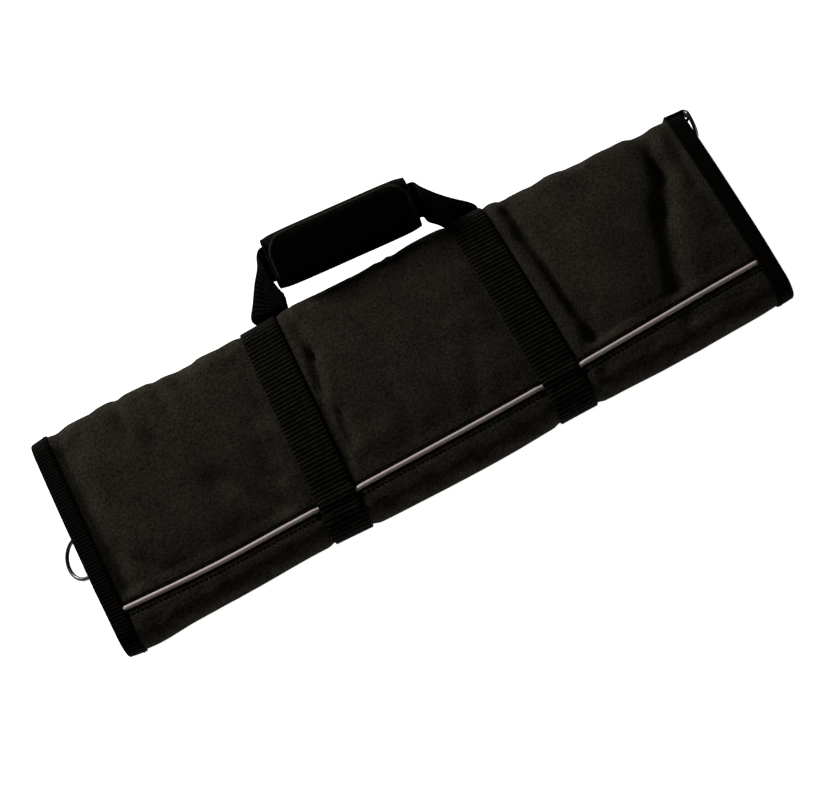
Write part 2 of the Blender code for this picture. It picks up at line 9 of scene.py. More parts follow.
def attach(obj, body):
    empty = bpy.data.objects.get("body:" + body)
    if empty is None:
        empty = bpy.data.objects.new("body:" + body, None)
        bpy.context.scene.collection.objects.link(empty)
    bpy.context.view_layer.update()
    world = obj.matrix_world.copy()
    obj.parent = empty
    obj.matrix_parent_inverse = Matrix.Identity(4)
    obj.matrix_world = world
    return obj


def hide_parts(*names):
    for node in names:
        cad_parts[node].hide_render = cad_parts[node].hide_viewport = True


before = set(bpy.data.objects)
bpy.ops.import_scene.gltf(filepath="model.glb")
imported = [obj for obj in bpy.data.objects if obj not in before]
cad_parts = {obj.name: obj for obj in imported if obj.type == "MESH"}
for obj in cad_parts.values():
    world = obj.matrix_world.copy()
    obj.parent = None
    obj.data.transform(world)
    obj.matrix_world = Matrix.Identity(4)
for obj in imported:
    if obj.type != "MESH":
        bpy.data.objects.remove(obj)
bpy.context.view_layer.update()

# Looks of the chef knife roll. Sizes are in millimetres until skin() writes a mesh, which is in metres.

MM = 0.001

# Roll
LENGTH, WIDTH, HEIGHT = 490.0, 166.0, 32.0
SHEET = 3.0
FAR_REACH, NEAR_REACH = 15.0, 13.0
FREE_EDGE_Y, INNER_END_Y = -40.0, 45.0
LAP_RISE, LAP_GAP = 12.0, 0.6
GAP = 0.3
TAPE, COVER = 1.0, 12.0
WEBBING, WEBBING_THICK = 25.4, 1.5
STRAPS = {"left": -77.5, "right": 83.5}
PINCH, PINCH_BLEND = 1.2, 6.0
PIPING_RADIUS, PIPING_PROUD = 1.6, 1.3
FRONT_RIPPLE = 0.45
COLUMN_SPACING = 2.6

# The seam along the piping: a channel on each side of the cord, a bed under it, and a stitched dip below it
CHANNEL_DEPTH, CHANNEL_ASIDE, CHANNEL_WIDTH = 1.5, 2.0, 1.1
BED_DEPTH, BED_WIDTH = 1.9, 1.3
DIP_DEPTH, DIP_BELOW, DIP_WIDTH = 0.45, 5.6, 1.2
SEAM_ABOVE, SEAM_BELOW = 12.0, 7.0

# Rows of points along a section of the sheet, and those that carry the tapes' stitches
FOLD_ROWS, FLAT_ROWS, UPPER_ROWS, SEAM_ROWS, LOWER_ROWS, RISE_ROWS = 16, 24, 30, 26, 6, 8
TAPE_STITCH_ROWS = slice(30, 115)

# Padding in the cloth simulation: pressure, how much larger the cloth is cut, frames, and the most it moves
PRESSURE, SPARE_CLOTH, FRAMES = 4.0, 0.015, 20
ROLL_PADDING_MOVE, FLAP_PADDING_MOVE = 2.8, 1.4

# Share of its thickness that a tape's selvedge bulges
SELVEDGE_BULGE = 0.45

# Handle
TILT = math.radians(48)
GRIP_LENGTH, GRIP_X, GRIP_RISE = 104.0, 4.3, 30.5
GRIP_TURN = math.radians(-3.8)
GRIP_PADDING, GRIP_MARGIN = 5.2, 0.9
GRIP_AROUND = 72
SLEEVE_SHARE, SLEEVE_SWELL, SLEEVE_PULL, SLEEVE_INSET, SLEEVE_END = 0.985, 0.9, 0.5, 0.6, 1.2
FLAP_THICK, FLAP_HALF, FLAP_CORNER, FLAP_LIFT, FLAP_DROP = 2.0, 49.6, 13.0, 0.5, 29.5
FLAP_DETAIL, FLAP_OUTLINE = 288, slice(18, 130)
FLAP_DOWN, FLAP_ACROSS = 33, 65

# D-rings
WIRE, RING_INSIDE, RING_CORNER = 1.4, 25.4, 2.5
RING_PIVOTS = {"left": (-243.4, -6.0, 14.7), "right": (247.0, 73.576, 16.727)}
RIGHT_BAR = (0, -0.256251, 0.96661)
LEFT_DROOP, RIGHT_SWING = math.radians(33), math.radians(-88)
TAB_LENGTH, TAB_THICK = 12.0, 1.2
LEFT_TAB_SPAN = (-16, 4)
RIGHT_TAB_ANGLES = math.pi * (np.linspace(3, 5, 9) / 7 - 0.5)

# Camera, in degrees, millimetres and the photograph's pixels
AZIMUTH, ELEVATION, CAMERA_ROLL = -6.9, 68.4, -21.3
TARGET, DISTANCE = (-2.6, -18.7, 16.0), 1311
FOCAL_PIXELS, PHOTO_WIDTH, SENSOR = 2000, 838, 36.0
FLOOR_HALF = 6000.0

# Outlines, as shares of half the length and half the width
FAR_EDGE = np.array([
    (-1.00, 0.958), (-0.94, 0.978), (-0.82, 0.992), (-0.62, 0.986), (-0.44, 0.972), (-0.17, 1.000),
    (0.26, 1.000), (0.47, 0.992), (0.63, 0.976), (0.80, 0.952), (0.94, 0.928), (1.00, 0.915),
])
NEAR_EDGE = np.array([
    (-1.00, 0.968), (-0.94, 0.990), (-0.80, 0.976), (-0.60, 0.966), (-0.44, 0.950), (-0.17, 0.970),
    (0.15, 0.966), (0.28, 0.945), (0.44, 0.940), (0.60, 0.945), (0.80, 0.930), (0.94, 0.912), (1.00, 0.898),
])
PIPING_LINE = np.array([
    (-1.00, 0.665), (-0.90, 0.682), (-0.70, 0.709), (-0.43, 0.701), (-0.12, 0.693), (0.20, 0.676),
    (0.55, 0.635), (0.92, 0.583), (1.00, 0.575),
])
CROWN_ACROSS = np.array([
    (-1.00, 0.800), (-0.70, 0.890), (-0.45, 0.975), (-0.10, 1.000), (0.40, 0.995), (0.75, 0.935),
    (1.00, 0.900),
])
CROWN_ALONG = np.array([
    (-1.00, 0.920), (-0.80, 0.975), (-0.45, 1.000), (0.45, 1.000), (0.80, 0.965), (1.00, 0.910),
])

# Creases of the front: both ends, depth, half width. A step falls away on its +X side. The gain makes all
# of them deep enough to shade as strongly as the photograph's.
CREASE_GAIN = 1.5
CREASES = [
    ("step", 108.0, 80.0, 110.0, 20.0, 3.6, 4.2), ("step", 110.0, 20.0, 112.5, -50.0, 3.8, 4.4),
    ("valley", -53.5, 60.0, -52.0, 40.0, 2.2, 3.6), ("valley", -52.0, 40.0, -56.5, 14.0, 3.0, 3.4),
    ("valley", -52.6, -9.0, -53.0, -28.0, 2.6, 3.4), ("valley", -60.8, 4.0, -60.4, -38.0, 2.2, 3.0),
    ("valley", 213.0, 70.0, 211.5, 38.0, 3.2, 7.0), ("valley", 211.5, 38.0, 198.0, 12.0, 2.3, 8.0),
    ("valley", 198.0, 12.0, 178.0, -46.0, 3.0, 8.0), ("valley", -170.0, 36.0, -142.0, -10.0, 2.8, 6.0),
    ("valley", -142.0, -10.0, -114.0, -46.0, 2.7, 7.0), ("valley", -138.0, 70.0, -104.0, 20.0, 2.4, 8.0),
    ("valley", -183.5, 72.0, -182.5, 52.0, 1.5, 4.0), ("valley", -154.0, 72.0, -153.0, 52.0, 1.3, 4.0),
    ("valley", -226.0, 62.0, -223.0, -46.0, 3.2, 6.5), ("valley", -205.0, 10.0, -172.0, -40.0, 1.2, 9.0),
    ("valley", 236.0, 66.0, 231.0, 44.0, 1.8, 5.0), ("valley", 227.0, 38.0, 226.0, 22.0, 0.9, 4.0),
    ("valley", 140.0, 40.0, 170.0, 66.0, 0.8, 12.0), ("valley", -20.0, 52.0, -6.0, 30.0, 0.7, 8.0),
    ("valley", 20.0, 38.0, 36.0, 20.0, 0.6, 7.0), ("valley", 42.0, -10.0, 30.0, -48.0, 0.8, 7.0),
    ("valley", -183.0, -60.0, -181.5, -73.0, 1.2, 3.6), ("valley", -164.0, -62.0, -163.0, -73.0, 1.0, 3.4),
    ("valley", 114.0, -56.0, 106.0, -72.0, 1.3, 4.4), ("valley", 176.0, -54.0, 172.0, -70.0, 0.7, 5.0),
    ("valley", -222.0, -20.0, -196.0, -50.0, 0.9, 6.0),
]

# Handle webbing between a strap and the grip: x and rise from the strap's root in webbing widths, turn, twist
LEFT_WEBBING = [(0.03, 0.10, -4, 14), (0.15, 0.32, -18, 36), (0.30, 0.62, -44, 42), (0.46, 0.92, -71, 30)]
RIGHT_WEBBING = [
    (-0.06, 0.08, -176, 18), (-0.30, 0.30, -156, 46), (-0.56, 0.58, -128, 52), (-0.80, 0.86, -106, 36),
]
ROOTS = {"left": -64.0, "right": 83.0}


def through(table, share):
    """A smooth line through the table's rows."""
    x, y = table[:, 0], table[:, 1]
    slope = np.gradient(y, x)
    share = np.clip(np.asarray(share, float), x[0], x[-1])
    i = np.clip(np.searchsorted(x, share) - 1, 0, len(x) - 2)
    step = x[i + 1] - x[i]
    t = (share - x[i]) / step
    a, b = 2 * t**3 - 3 * t**2 + 1, t**3 - 2 * t**2 + t
    return a * y[i] + b * step * slope[i] + (1 - a) * y[i + 1] + (t**3 - t**2) * step * slope[i + 1]


def smooth(value):
    value = np.clip(value, 0.0, 1.0)
    return value * value * (3 - 2 * value)


def strap_slant(x):
    return np.interp(x, [-LENGTH / 2, STRAPS["left"], STRAPS["right"], LENGTH / 2], [0, 0.044, -0.019, 0])


def fade(distance, start, width):
    """One up to the start, then smoothly down to nothing over the width."""
    return 1 - smooth((distance - start) / width)


def strap_distance(x):
    return np.minimum(abs(x - STRAPS["left"]), abs(x - STRAPS["right"])) - WEBBING / 2


def strap_closeness(x):
    return fade(strap_distance(x), GAP, PINCH_BLEND)


def end_closeness(x):
    return fade(LENGTH / 2 - abs(x) - COVER, 0, COVER)


def back_level(x):
    return np.maximum((WEBBING_THICK + GAP) * strap_closeness(x), (TAPE + GAP) * end_closeness(x))


def edge(table, x, side):
    return side * (through(table, 2 * x / LENGTH) * WIDTH / 2 - PINCH * strap_closeness(x))


def piping_y(x):
    return -through(PIPING_LINE, 2 * x / LENGTH) * WIDTH / 2


def crease_depth(x, y):
    """How far the creases lower the front."""
    total = np.zeros(np.broadcast(x, y).shape)
    for kind, ax, ay, bx, by, depth, half_width in CREASES:
        along = np.array([bx - ax, by - ay])
        length = np.hypot(*along)
        unit = along / length
        run = (x - ax) * unit[0] + (y - ay) * unit[1]
        aside = (x - ax) * unit[1] * -1 + (y - ay) * unit[0]
        if kind == "step":
            ends = smooth((run + 4) / 8) * smooth((length + 4 - run) / 8)
            falls = smooth((aside / half_width + 1) / 2)
            rises = 1 - smooth((aside - half_width) / (9 * half_width))
            total += depth * falls * rises * ends + 0.25 * depth * np.exp(-((aside / half_width) ** 2)) * ends
        else:
            past = np.maximum(0, np.maximum(-run, run - length))
            total += depth * np.exp(-((aside / half_width) ** 2) - (past / (1.6 * half_width)) ** 2)
    return total * CREASE_GAIN


def ripple(x, y):
    """Slight unevenness of padded cloth, the same on every run."""
    return (
        np.sin(x / 17.0 + 1.3 * np.sin(y / 23.0)) * np.sin(y / 19.0 + 0.8 * np.sin(x / 31.0 + 1.0))
        + 0.5 * np.sin(x / 8.3 + y / 11.0 + 2.0) * np.sin(y / 9.1 - x / 14.0)
    )


def front_level(x, y, creased=True):
    level = HEIGHT * through(CROWN_ACROSS, 2 * y / WIDTH) * through(CROWN_ALONG, 2 * x / LENGTH)
    level = level - PINCH * strap_closeness(x)
    if creased:
        quiet = np.maximum(strap_closeness(x), fade(LENGTH / 2 - abs(x) - COVER, 0, 5))
        quiet = np.maximum(quiet, fade(abs(y - piping_y(x)), 4, 9))
        level = level - (crease_depth(x, y) + FRONT_RIPPLE * ripple(x, y)) * (1 - quiet)
    return level


def fold_point(x, angle, side, creased=True):
    table, reach = (FAR_EDGE, FAR_REACH) if side > 0 else (NEAR_EDGE, NEAR_REACH)
    centre_y = edge(table, x, side) - side * reach
    low, high = back_level(x), front_level(x, centre_y, creased)
    return np.stack([
        centre_y + side * reach * np.cos(angle) + 0 * x,
        (low + high) / 2 + (high - low) / 2 * np.sin(angle),
    ], -1)


def groove(offset):
    """How far the seam lowers the sheet at this distance above the piping's middle."""
    channel = CHANNEL_DEPTH * np.exp(-(((abs(offset) - CHANNEL_ASIDE) / CHANNEL_WIDTH) ** 2))
    bed = BED_DEPTH * np.exp(-((offset / BED_WIDTH) ** 4))
    dip = DIP_DEPTH * np.exp(-(((offset + DIP_BELOW) / DIP_WIDTH) ** 2))
    return np.maximum(channel, bed) + dip


def lap_level(x):
    tapes = (2 * (TAPE + GAP) + GAP) * end_closeness(x)
    return back_level(x) + SHEET + np.maximum(LAP_GAP, tapes)


def place(x, points):
    """World positions of (y, z) points at column x, leaning along the straps."""
    return np.stack([x + strap_slant(x) * points[..., 0], points[..., 0], points[..., 1]], -1)


def section(x, creased=True):
    """The sheet's outer face at x, as (y, z) points from its free edge round to its inner end."""
    quarter = math.pi / 2
    angles = np.linspace(-quarter, quarter, FOLD_ROWS + 1)
    far = fold_point(x, angles, 1, creased)
    near = fold_point(x, -angles, -1, creased)
    back, lap = float(back_level(x)), float(lap_level(x))
    y = np.linspace(FREE_EDGE_Y, far[0, 0], FLAT_ROWS + 1)[:-1]
    parts = [np.stack([y, np.full_like(y, back)], -1), far]
    middle = float(piping_y(x))
    upper = np.linspace(far[-1, 0], middle + SEAM_ABOVE, UPPER_ROWS)[1:-1]
    seam = middle + np.linspace(SEAM_ABOVE, -SEAM_BELOW, SEAM_ROWS)
    lower = np.linspace(middle - SEAM_BELOW, near[0, 0], LOWER_ROWS)[1:-1]
    y = np.concatenate([upper, seam, lower])
    z = front_level(x, y, creased)
    if creased:
        z = z - groove(y - middle)
    parts += [np.stack([y, z], -1), near]
    lap_stop = FREE_EDGE_Y - LAP_GAP - 2 * TAPE
    part = np.linspace(0, 1, RISE_ROWS)
    parts.append(np.stack([lap_stop - LAP_RISE * (1 - part), back + (lap - back) * smooth(part)], -1))
    y = np.linspace(lap_stop, INNER_END_Y, FLAT_ROWS + 1)[1:]
    parts.append(np.stack([y, np.full_like(y, lap)], -1))
    return np.concatenate(parts)


def left_of(points):
    """Unit normals to the left of an open (y, z) path, which is the roll's inside."""
    run = np.gradient(points, axis=0)
    run /= np.linalg.norm(run, axis=1, keepdims=True) + 1e-12
    return np.stack([-run[:, 1], run[:, 0]], -1)


def unit(v):
    return v / (np.linalg.norm(v, axis=-1, keepdims=True) + 1e-12)


def skin(name, points, finish, closed_rows=False, closed_cols=True, caps="none"):
    """A mesh over rows x columns of points, with a UV map in metres along both. Both ends may be capped."""
    rows, cols = points.shape[:2]
    build = bmesh.new()
    uv = build.loops.layers.uv.new("run")
    across = np.zeros((rows, cols + 1))
    closing = np.concatenate([points, points[:, :1]], 1)
    across[:, 1:] = np.cumsum(np.linalg.norm(np.diff(closing, axis=1), axis=2), 1)
    across[:] = across.mean(0)
    along = np.zeros((rows + 1, cols + 1))
    looping = np.concatenate([closing, closing[:1]], 0)
    along[1:] = np.cumsum(np.linalg.norm(np.diff(looping, axis=0), axis=2), 0)
    along[:] = along.mean(1, keepdims=True)
    verts = [build.verts.new(p) for p in (points * MM).reshape(-1, 3)]
    for r in range(rows if closed_rows else rows - 1):
        for c in range(cols if closed_cols else cols - 1):
            corners = ((r, c), (r, c + 1), (r + 1, c + 1), (r + 1, c))
            face = build.faces.new([verts[(i % rows) * cols + j % cols] for i, j in corners])
            for loop, (i, j) in zip(face.loops, corners):
                loop[uv].uv = (across[min(i, rows - 1), j] * MM, along[i, j] * MM)
    if caps == "fan":
        for r in (0, rows - 1):
            build.faces.new(verts[r * cols:(r + 1) * cols])
    if caps == "strip":
        half = cols // 2 - 1
        for r in (0, rows - 1):
            ring = verts[r * cols:(r + 1) * cols]
            for i in range(half - 1):
                build.faces.new((ring[i], ring[i + 1], ring[2 * half - 1 - i], ring[2 * half - i]))
            build.faces.new((ring[half - 1], ring[half], ring[half + 1]))
            build.faces.new((ring[0], ring[-1], ring[-2]))
    bmesh.ops.recalc_face_normals(build, faces=build.faces)
    mesh = bpy.data.meshes.new(name)
    build.to_mesh(mesh)
    build.free()
    mesh.shade_smooth()
    piece = bpy.data.objects.new(name, mesh)
    bpy.context.scene.collection.objects.link(piece)
    mesh.materials.append(finish)
    return piece


def surface_normals(grid):
    down = np.gradient(grid, axis=0)
    over = np.gradient(grid, axis=1)
    return unit(np.cross(down, over))


def walled(grid, thick, side):
    """Both faces of a sheet and its two rounded selvedges, as rows of closed loops."""
    normals = surface_normals(grid) * side
    other = grid + normals * thick
    middle = (grid + other) / 2
    left = unit(middle[:, :1] - middle[:, 1:2])
    right = unit(middle[:, -1:] - middle[:, -2:-1])
    bulge_left = middle[:, :1] + left * thick * SELVEDGE_BULGE
    bulge_right = middle[:, -1:] + right * thick * SELVEDGE_BULGE
    return np.concatenate([grid, bulge_right, other[:, ::-1], bulge_left], 1)


def tube(name, path, radius, finish, sides=12, closed=False, turns=None):
    """A round wire or cord along a path."""
    path = np.asarray(path, float)
    if closed:
        run = unit(np.roll(path, -1, 0) - np.roll(path, 1, 0))
    else:
        run = unit(np.gradient(path, axis=0))
    up = np.array(turns if turns is not None else (0.0, 0.0, 1.0))
    side = unit(np.cross(run, up))
    top = np.cross(side, run)
    angle = np.linspace(0, 2 * math.pi, sides, endpoint=False)[None, :, None]
    rings = path[:, None] + radius * (np.cos(angle) * side[:, None] + np.sin(angle) * top[:, None])
    return skin(name, rings, finish, closed_rows=closed, caps="none" if closed else "fan")


def colour(code):
    """Linear colour from an sRGB hex value."""
    parts = [int(code[i:i + 2], 16) / 255 for i in (1, 3, 5)]
    return tuple(c / 12.92 if c <= 0.04045 else ((c + 0.055) / 1.055) ** 2.4 for c in parts) + (1.0,)


def add(tree, kind, settings=None, links=None):
    """A node with its settings, and its inputs linked from other nodes' outputs."""
    node = tree.nodes.new(kind)
    for key, value in (settings or {}).items():
        if key == "stops":
            for i, (position, code) in enumerate(value):
                element = node.color_ramp.elements[i] if i < 2 else node.color_ramp.elements.new(position)
                element.position = position
                element.color = colour(code) if isinstance(code, str) else (code, code, code, 1.0)
        elif isinstance(key, int) or key in node.inputs:
            node.inputs[key].default_value = value
        else:
            setattr(node, key, value)
    for key, (source, output) in (links or {}).items():
        tree.links.new(source.outputs[output], node.inputs[key])
    return node


def new_material(name, settings):
    made = bpy.data.materials.new(name)
    made.use_nodes = True
    shader = made.node_tree.nodes["Principled BSDF"]
    for key, value in settings.items():
        shader.inputs[key].default_value = value
    return made, made.node_tree, shader


def wave_scale(pitch):
    """A wave texture's scale for bands this many millimetres apart on coordinates in metres."""
    return 2 * math.pi / 20 / (pitch * MM)


def woven_polyester(name, dark, light, deep, pale):
    """Coarse black polyester with a dull coating: warm grey-black, matt, with a strong dry grain.

    Its yarns are 0.5 mm apart, finer than a pixel, so the weave is drawn 1.1 mm apart.
    """
    made, tree, shader = new_material(name, {"Roughness": 0.9, "IOR": 1.5, "Specular IOR Level": 0.01})
    uv = add(tree, "ShaderNodeUVMap", {"uv_map": "run"})
    spot = add(tree, "ShaderNodeTexCoord")
    threads = {"Scale": wave_scale(1.1), "Distortion": 1.4, "Detail": 2.0, "Detail Scale": 2.0}
    warp = add(tree, "ShaderNodeTexWave", {"bands_direction": "X", **threads}, {"Vector": (uv, "UV")})
    weft = add(tree, "ShaderNodeTexWave", {"bands_direction": "Y", **threads}, {"Vector": (uv, "UV")})
    weave = add(tree, "ShaderNodeMath", {"operation": "MAXIMUM"}, {0: (warp, "Fac"), 1: (weft, "Fac")})
    grain = add(tree, "ShaderNodeTexNoise", {"Scale": 620.0, "Detail": 3.0, "Roughness": 0.75},
                {"Vector": (spot, "Object")})
    cloud = add(tree, "ShaderNodeTexNoise", {"Scale": 60.0, "Detail": 5.0, "Roughness": 0.65},
                {"Vector": (spot, "Object")})
    fine = add(tree, "ShaderNodeValToRGB", {"stops": [(0.36, dark), (0.66, light)]}, {"Fac": (grain, "Fac")})
    patch = add(tree, "ShaderNodeValToRGB", {"stops": [(0.32, deep), (0.68, pale)]}, {"Fac": (cloud, "Fac")})
    tone = add(tree, "ShaderNodeMix", {"data_type": "RGBA", 0: 0.35},
               {6: (fine, "Color"), 7: (patch, "Color")})
    tree.links.new(tone.outputs[2], shader.inputs["Base Color"])
    height = add(tree, "ShaderNodeMath", {"operation": "MULTIPLY_ADD", 1: 0.35},
                 {0: (weave, 0), 2: (grain, "Fac")})
    bump = add(tree, "ShaderNodeBump", {"Strength": 0.8, "Distance": 0.0006}, {"Height": (height, 0)})
    tree.links.new(bump.outputs["Normal"], shader.inputs["Normal"])
    return made


def ribbed_webbing(name, rib, thread, low, high, depth):
    """Woven polypropylene tape: black, matt, with heavy ribs across it and finer threads along it."""
    made, tree, shader = new_material(name, {"Roughness": 0.7, "IOR": 1.49, "Specular IOR Level": 0.01})
    uv = add(tree, "ShaderNodeUVMap", {"uv_map": "run"})
    spot = add(tree, "ShaderNodeTexCoord")
    ribs = add(tree, "ShaderNodeTexWave", {
        "bands_direction": "Y", "Scale": wave_scale(rib), "Distortion": 1.3, "Detail": 1.0,
        "Detail Scale": 3.0,
    }, {"Vector": (uv, "UV")})
    threads = add(tree, "ShaderNodeTexWave", {"bands_direction": "X", "Scale": wave_scale(thread)},
                  {"Vector": (uv, "UV")})
    weave = add(tree, "ShaderNodeMix", {"data_type": "FLOAT", 0: 0.40},
                {2: (ribs, "Fac"), 3: (threads, "Fac")})
    face = add(tree, "ShaderNodeValToRGB", {"stops": [(0.22, "#020201"), (0.50, low), (0.92, high)]},
               {"Fac": (weave, 0)})
    wear = add(tree, "ShaderNodeTexNoise", {"Scale": 240.0, "Detail": 4.0, "Roughness": 0.7},
               {"Vector": (spot, "Object")})
    shade = add(tree, "ShaderNodeValToRGB", {"stops": [(0.32, 0.35), (0.68, 1.0)]}, {"Fac": (wear, "Fac")})
    tone = add(tree, "ShaderNodeMix", {"data_type": "RGBA", "blend_type": "MULTIPLY", 0: 1.0},
               {6: (face, "Color"), 7: (shade, "Color")})
    tree.links.new(tone.outputs[2], shader.inputs["Base Color"])
    bump = add(tree, "ShaderNodeBump", {"Strength": 1.0, "Distance": depth}, {"Height": (weave, 0)})
    tree.links.new(bump.outputs["Normal"], shader.inputs["Normal"])
    return made


def piping_satin():
    """Satin-woven polyester over a cord: light warm grey, slightly lustrous, with a diagonal twill."""
    made, tree, shader = new_material("piping_satin", {
        "Roughness": 0.5, "IOR": 1.5, "Sheen Weight": 0.2, "Specular IOR Level": 0.3,
    })
    uv = add(tree, "ShaderNodeUVMap", {"uv_map": "run"})
    turned = add(tree, "ShaderNodeMapping", {"Rotation": (0, 0, math.radians(38))}, {"Vector": (uv, "UV")})
    twill = add(tree, "ShaderNodeTexWave", {
        "bands_direction": "X", "Scale": wave_scale(1.0), "Distortion": 0.6, "Detail": 1.0,
    }, {"Vector": (turned, "Vector")})
    tone = add(tree, "ShaderNodeValToRGB", {"stops": [(0.0, "#a4958f"), (1.0, "#cbbdb7")]},
               {"Fac": (twill, "Fac")})
    tree.links.new(tone.outputs["Color"], shader.inputs["Base Color"])
    bump = add(tree, "ShaderNodeBump", {"Strength": 0.4, "Distance": 0.0002}, {"Height": (twill, "Fac")})
    tree.links.new(bump.outputs["Normal"], shader.inputs["Normal"])
    return made


def sewing_thread():
    """Spun black polyester thread: near black and matt, with a tight twist 0.4 mm apart."""
    made, tree, shader = new_material("sewing_thread", {
        "Roughness": 0.8, "IOR": 1.5, "Specular IOR Level": 0.0,
    })
    spot = add(tree, "ShaderNodeTexCoord")
    twist = add(tree, "ShaderNodeTexNoise", {"Scale": 2500.0, "Detail": 1.0}, {"Vector": (spot, "Object")})
    tone = add(tree, "ShaderNodeValToRGB", {"stops": [(0.3, "#020202"), (0.7, "#0e0c0a")]},
               {"Fac": (twist, "Fac")})
    tree.links.new(tone.outputs["Color"], shader.inputs["Base Color"])
    return made


def nickel_wire():
    """Dark nickel-plated steel wire, drawn and bent: smooth, reflective, with faint handling marks."""
    made, tree, shader = new_material("nickel_wire", {"Metallic": 1.0, "Roughness": 0.3})
    spot = add(tree, "ShaderNodeTexCoord")
    marks = add(tree, "ShaderNodeTexNoise", {"Scale": 700.0, "Detail": 4.0}, {"Vector": (spot, "Object")})
    tone = add(tree, "ShaderNodeValToRGB", {"stops": [(0.3, "#383532"), (0.7, "#625d5a")]},
               {"Fac": (marks, "Fac")})
    rough = add(tree, "ShaderNodeValToRGB", {"stops": [(0.3, 0.22), (0.7, 0.42)]}, {"Fac": (marks, "Fac")})
    tree.links.new(tone.outputs["Color"], shader.inputs["Base Color"])
    tree.links.new(rough.outputs["Color"], shader.inputs["Roughness"])
    return made


POLYESTER = woven_polyester("woven_polyester", "#110f0b", "#3d3930", "#15130e", "#2b2822")
# The grip's copy of the same polyester is darker: painted shade, for the grip's face that is turned away from
# the key light.
SHADED_GRIP_POLYESTER = woven_polyester("grip_polyester_painted_shade", "#070605", "#211f1b", "#080706", "#151310")
STRAP_WEBBING = ribbed_webbing("strap_webbing", 3.0, 1.3, "#100e0a", "#2f2c25", 0.0006)
# The handle's and ring tabs' copy of the strap webbing is darker: painted shade, for webbing that faces away
# from the key light.
SHADED_WEBBING = ribbed_webbing("webbing_painted_shade", 2.6, 1.3, "#090806", "#1b1914", 0.0005)
BINDING_TAPE = ribbed_webbing("binding_tape", 2.4, 1.4, "#090806", "#1d1b16", 0.0005)
PIPING = piping_satin()
THREAD = sewing_thread()
NICKEL = nickel_wire()


def make_camera():
    azimuth, elevation, roll = (math.radians(v) for v in (AZIMUTH, ELEVATION, CAMERA_ROLL))
    back = Vector((math.sin(azimuth) * math.cos(elevation), -math.cos(azimuth) * math.cos(elevation),
                   math.sin(elevation)))
    right = (-back).cross(Vector((0, 0, 1))).normalized()
    up = right.cross(-back)
    right, up = right * math.cos(roll) + up * math.sin(roll), -right * math.sin(roll) + up * math.cos(roll)
    data = bpy.data.cameras.new("camera")
    data.sensor_width = SENSOR
    data.lens = FOCAL_PIXELS / PHOTO_WIDTH * SENSOR
    data.clip_start, data.clip_end = 0.05, 20
    camera = bpy.data.objects.new("camera", data)
    bpy.context.scene.collection.objects.link(camera)
    matrix = Matrix((right, up, back)).transposed().to_4x4()
    matrix.translation = Vector(TARGET) * MM + back * DISTANCE * MM
    camera.matrix_world = matrix
    bpy.context.scene.camera = camera


def area_light(name, stand, size, power):
    """A round soft light at a place in metres, aimed at the roll."""
    data = bpy.data.lights.new(name, "AREA")
    data.shape, data.size, data.energy = "DISK", size, power
    lamp = bpy.data.objects.new(name, data)
    lamp.location = stand
    lamp.rotation_mode = "QUATERNION"
    lamp.rotation_quaternion = Vector(stand).to_track_quat("Z", "Y")
    bpy.context.scene.collection.objects.link(lamp)


def make_stage():
    bpy.context.scene.view_settings.view_transform = "Standard"
    world = bpy.data.worlds.new("studio")
    world.use_nodes = True
    world.node_tree.nodes["Background"].inputs["Color"].default_value = colour("#f7f8fb")
    world.node_tree.nodes["Background"].inputs["Strength"].default_value = 0.05
    bpy.context.scene.world = world
    area_light("key", (-1.00, 1.55, 0.86), 0.5, 48)
    area_light("fill", (0.2, -0.5, 2.0), 1.6, 0.5)
    area = FLOOR_HALF * np.array([[(-1.0, -1.0, 0.0), (1.0, -1.0, 0.0)], [(-1.0, 1.0, 0.0), (1.0, 1.0, 0.0)]])
    made, tree, shader = new_material("white_paper", {
        "Roughness": 0.9, "Base Color": colour("#f4f4f4"), "Emission Color": colour("#ffffff"),
        "Emission Strength": 0.97,
    })
    floor = skin("floor", area, made, closed_cols=False)
    if floor.data.polygons[0].normal.z < 0:
        floor.data.flip_normals()


def column_places():
    end = LENGTH / 2 - TAPE - GAP
    return np.linspace(-end, end, int(2 * end / COLUMN_SPACING))


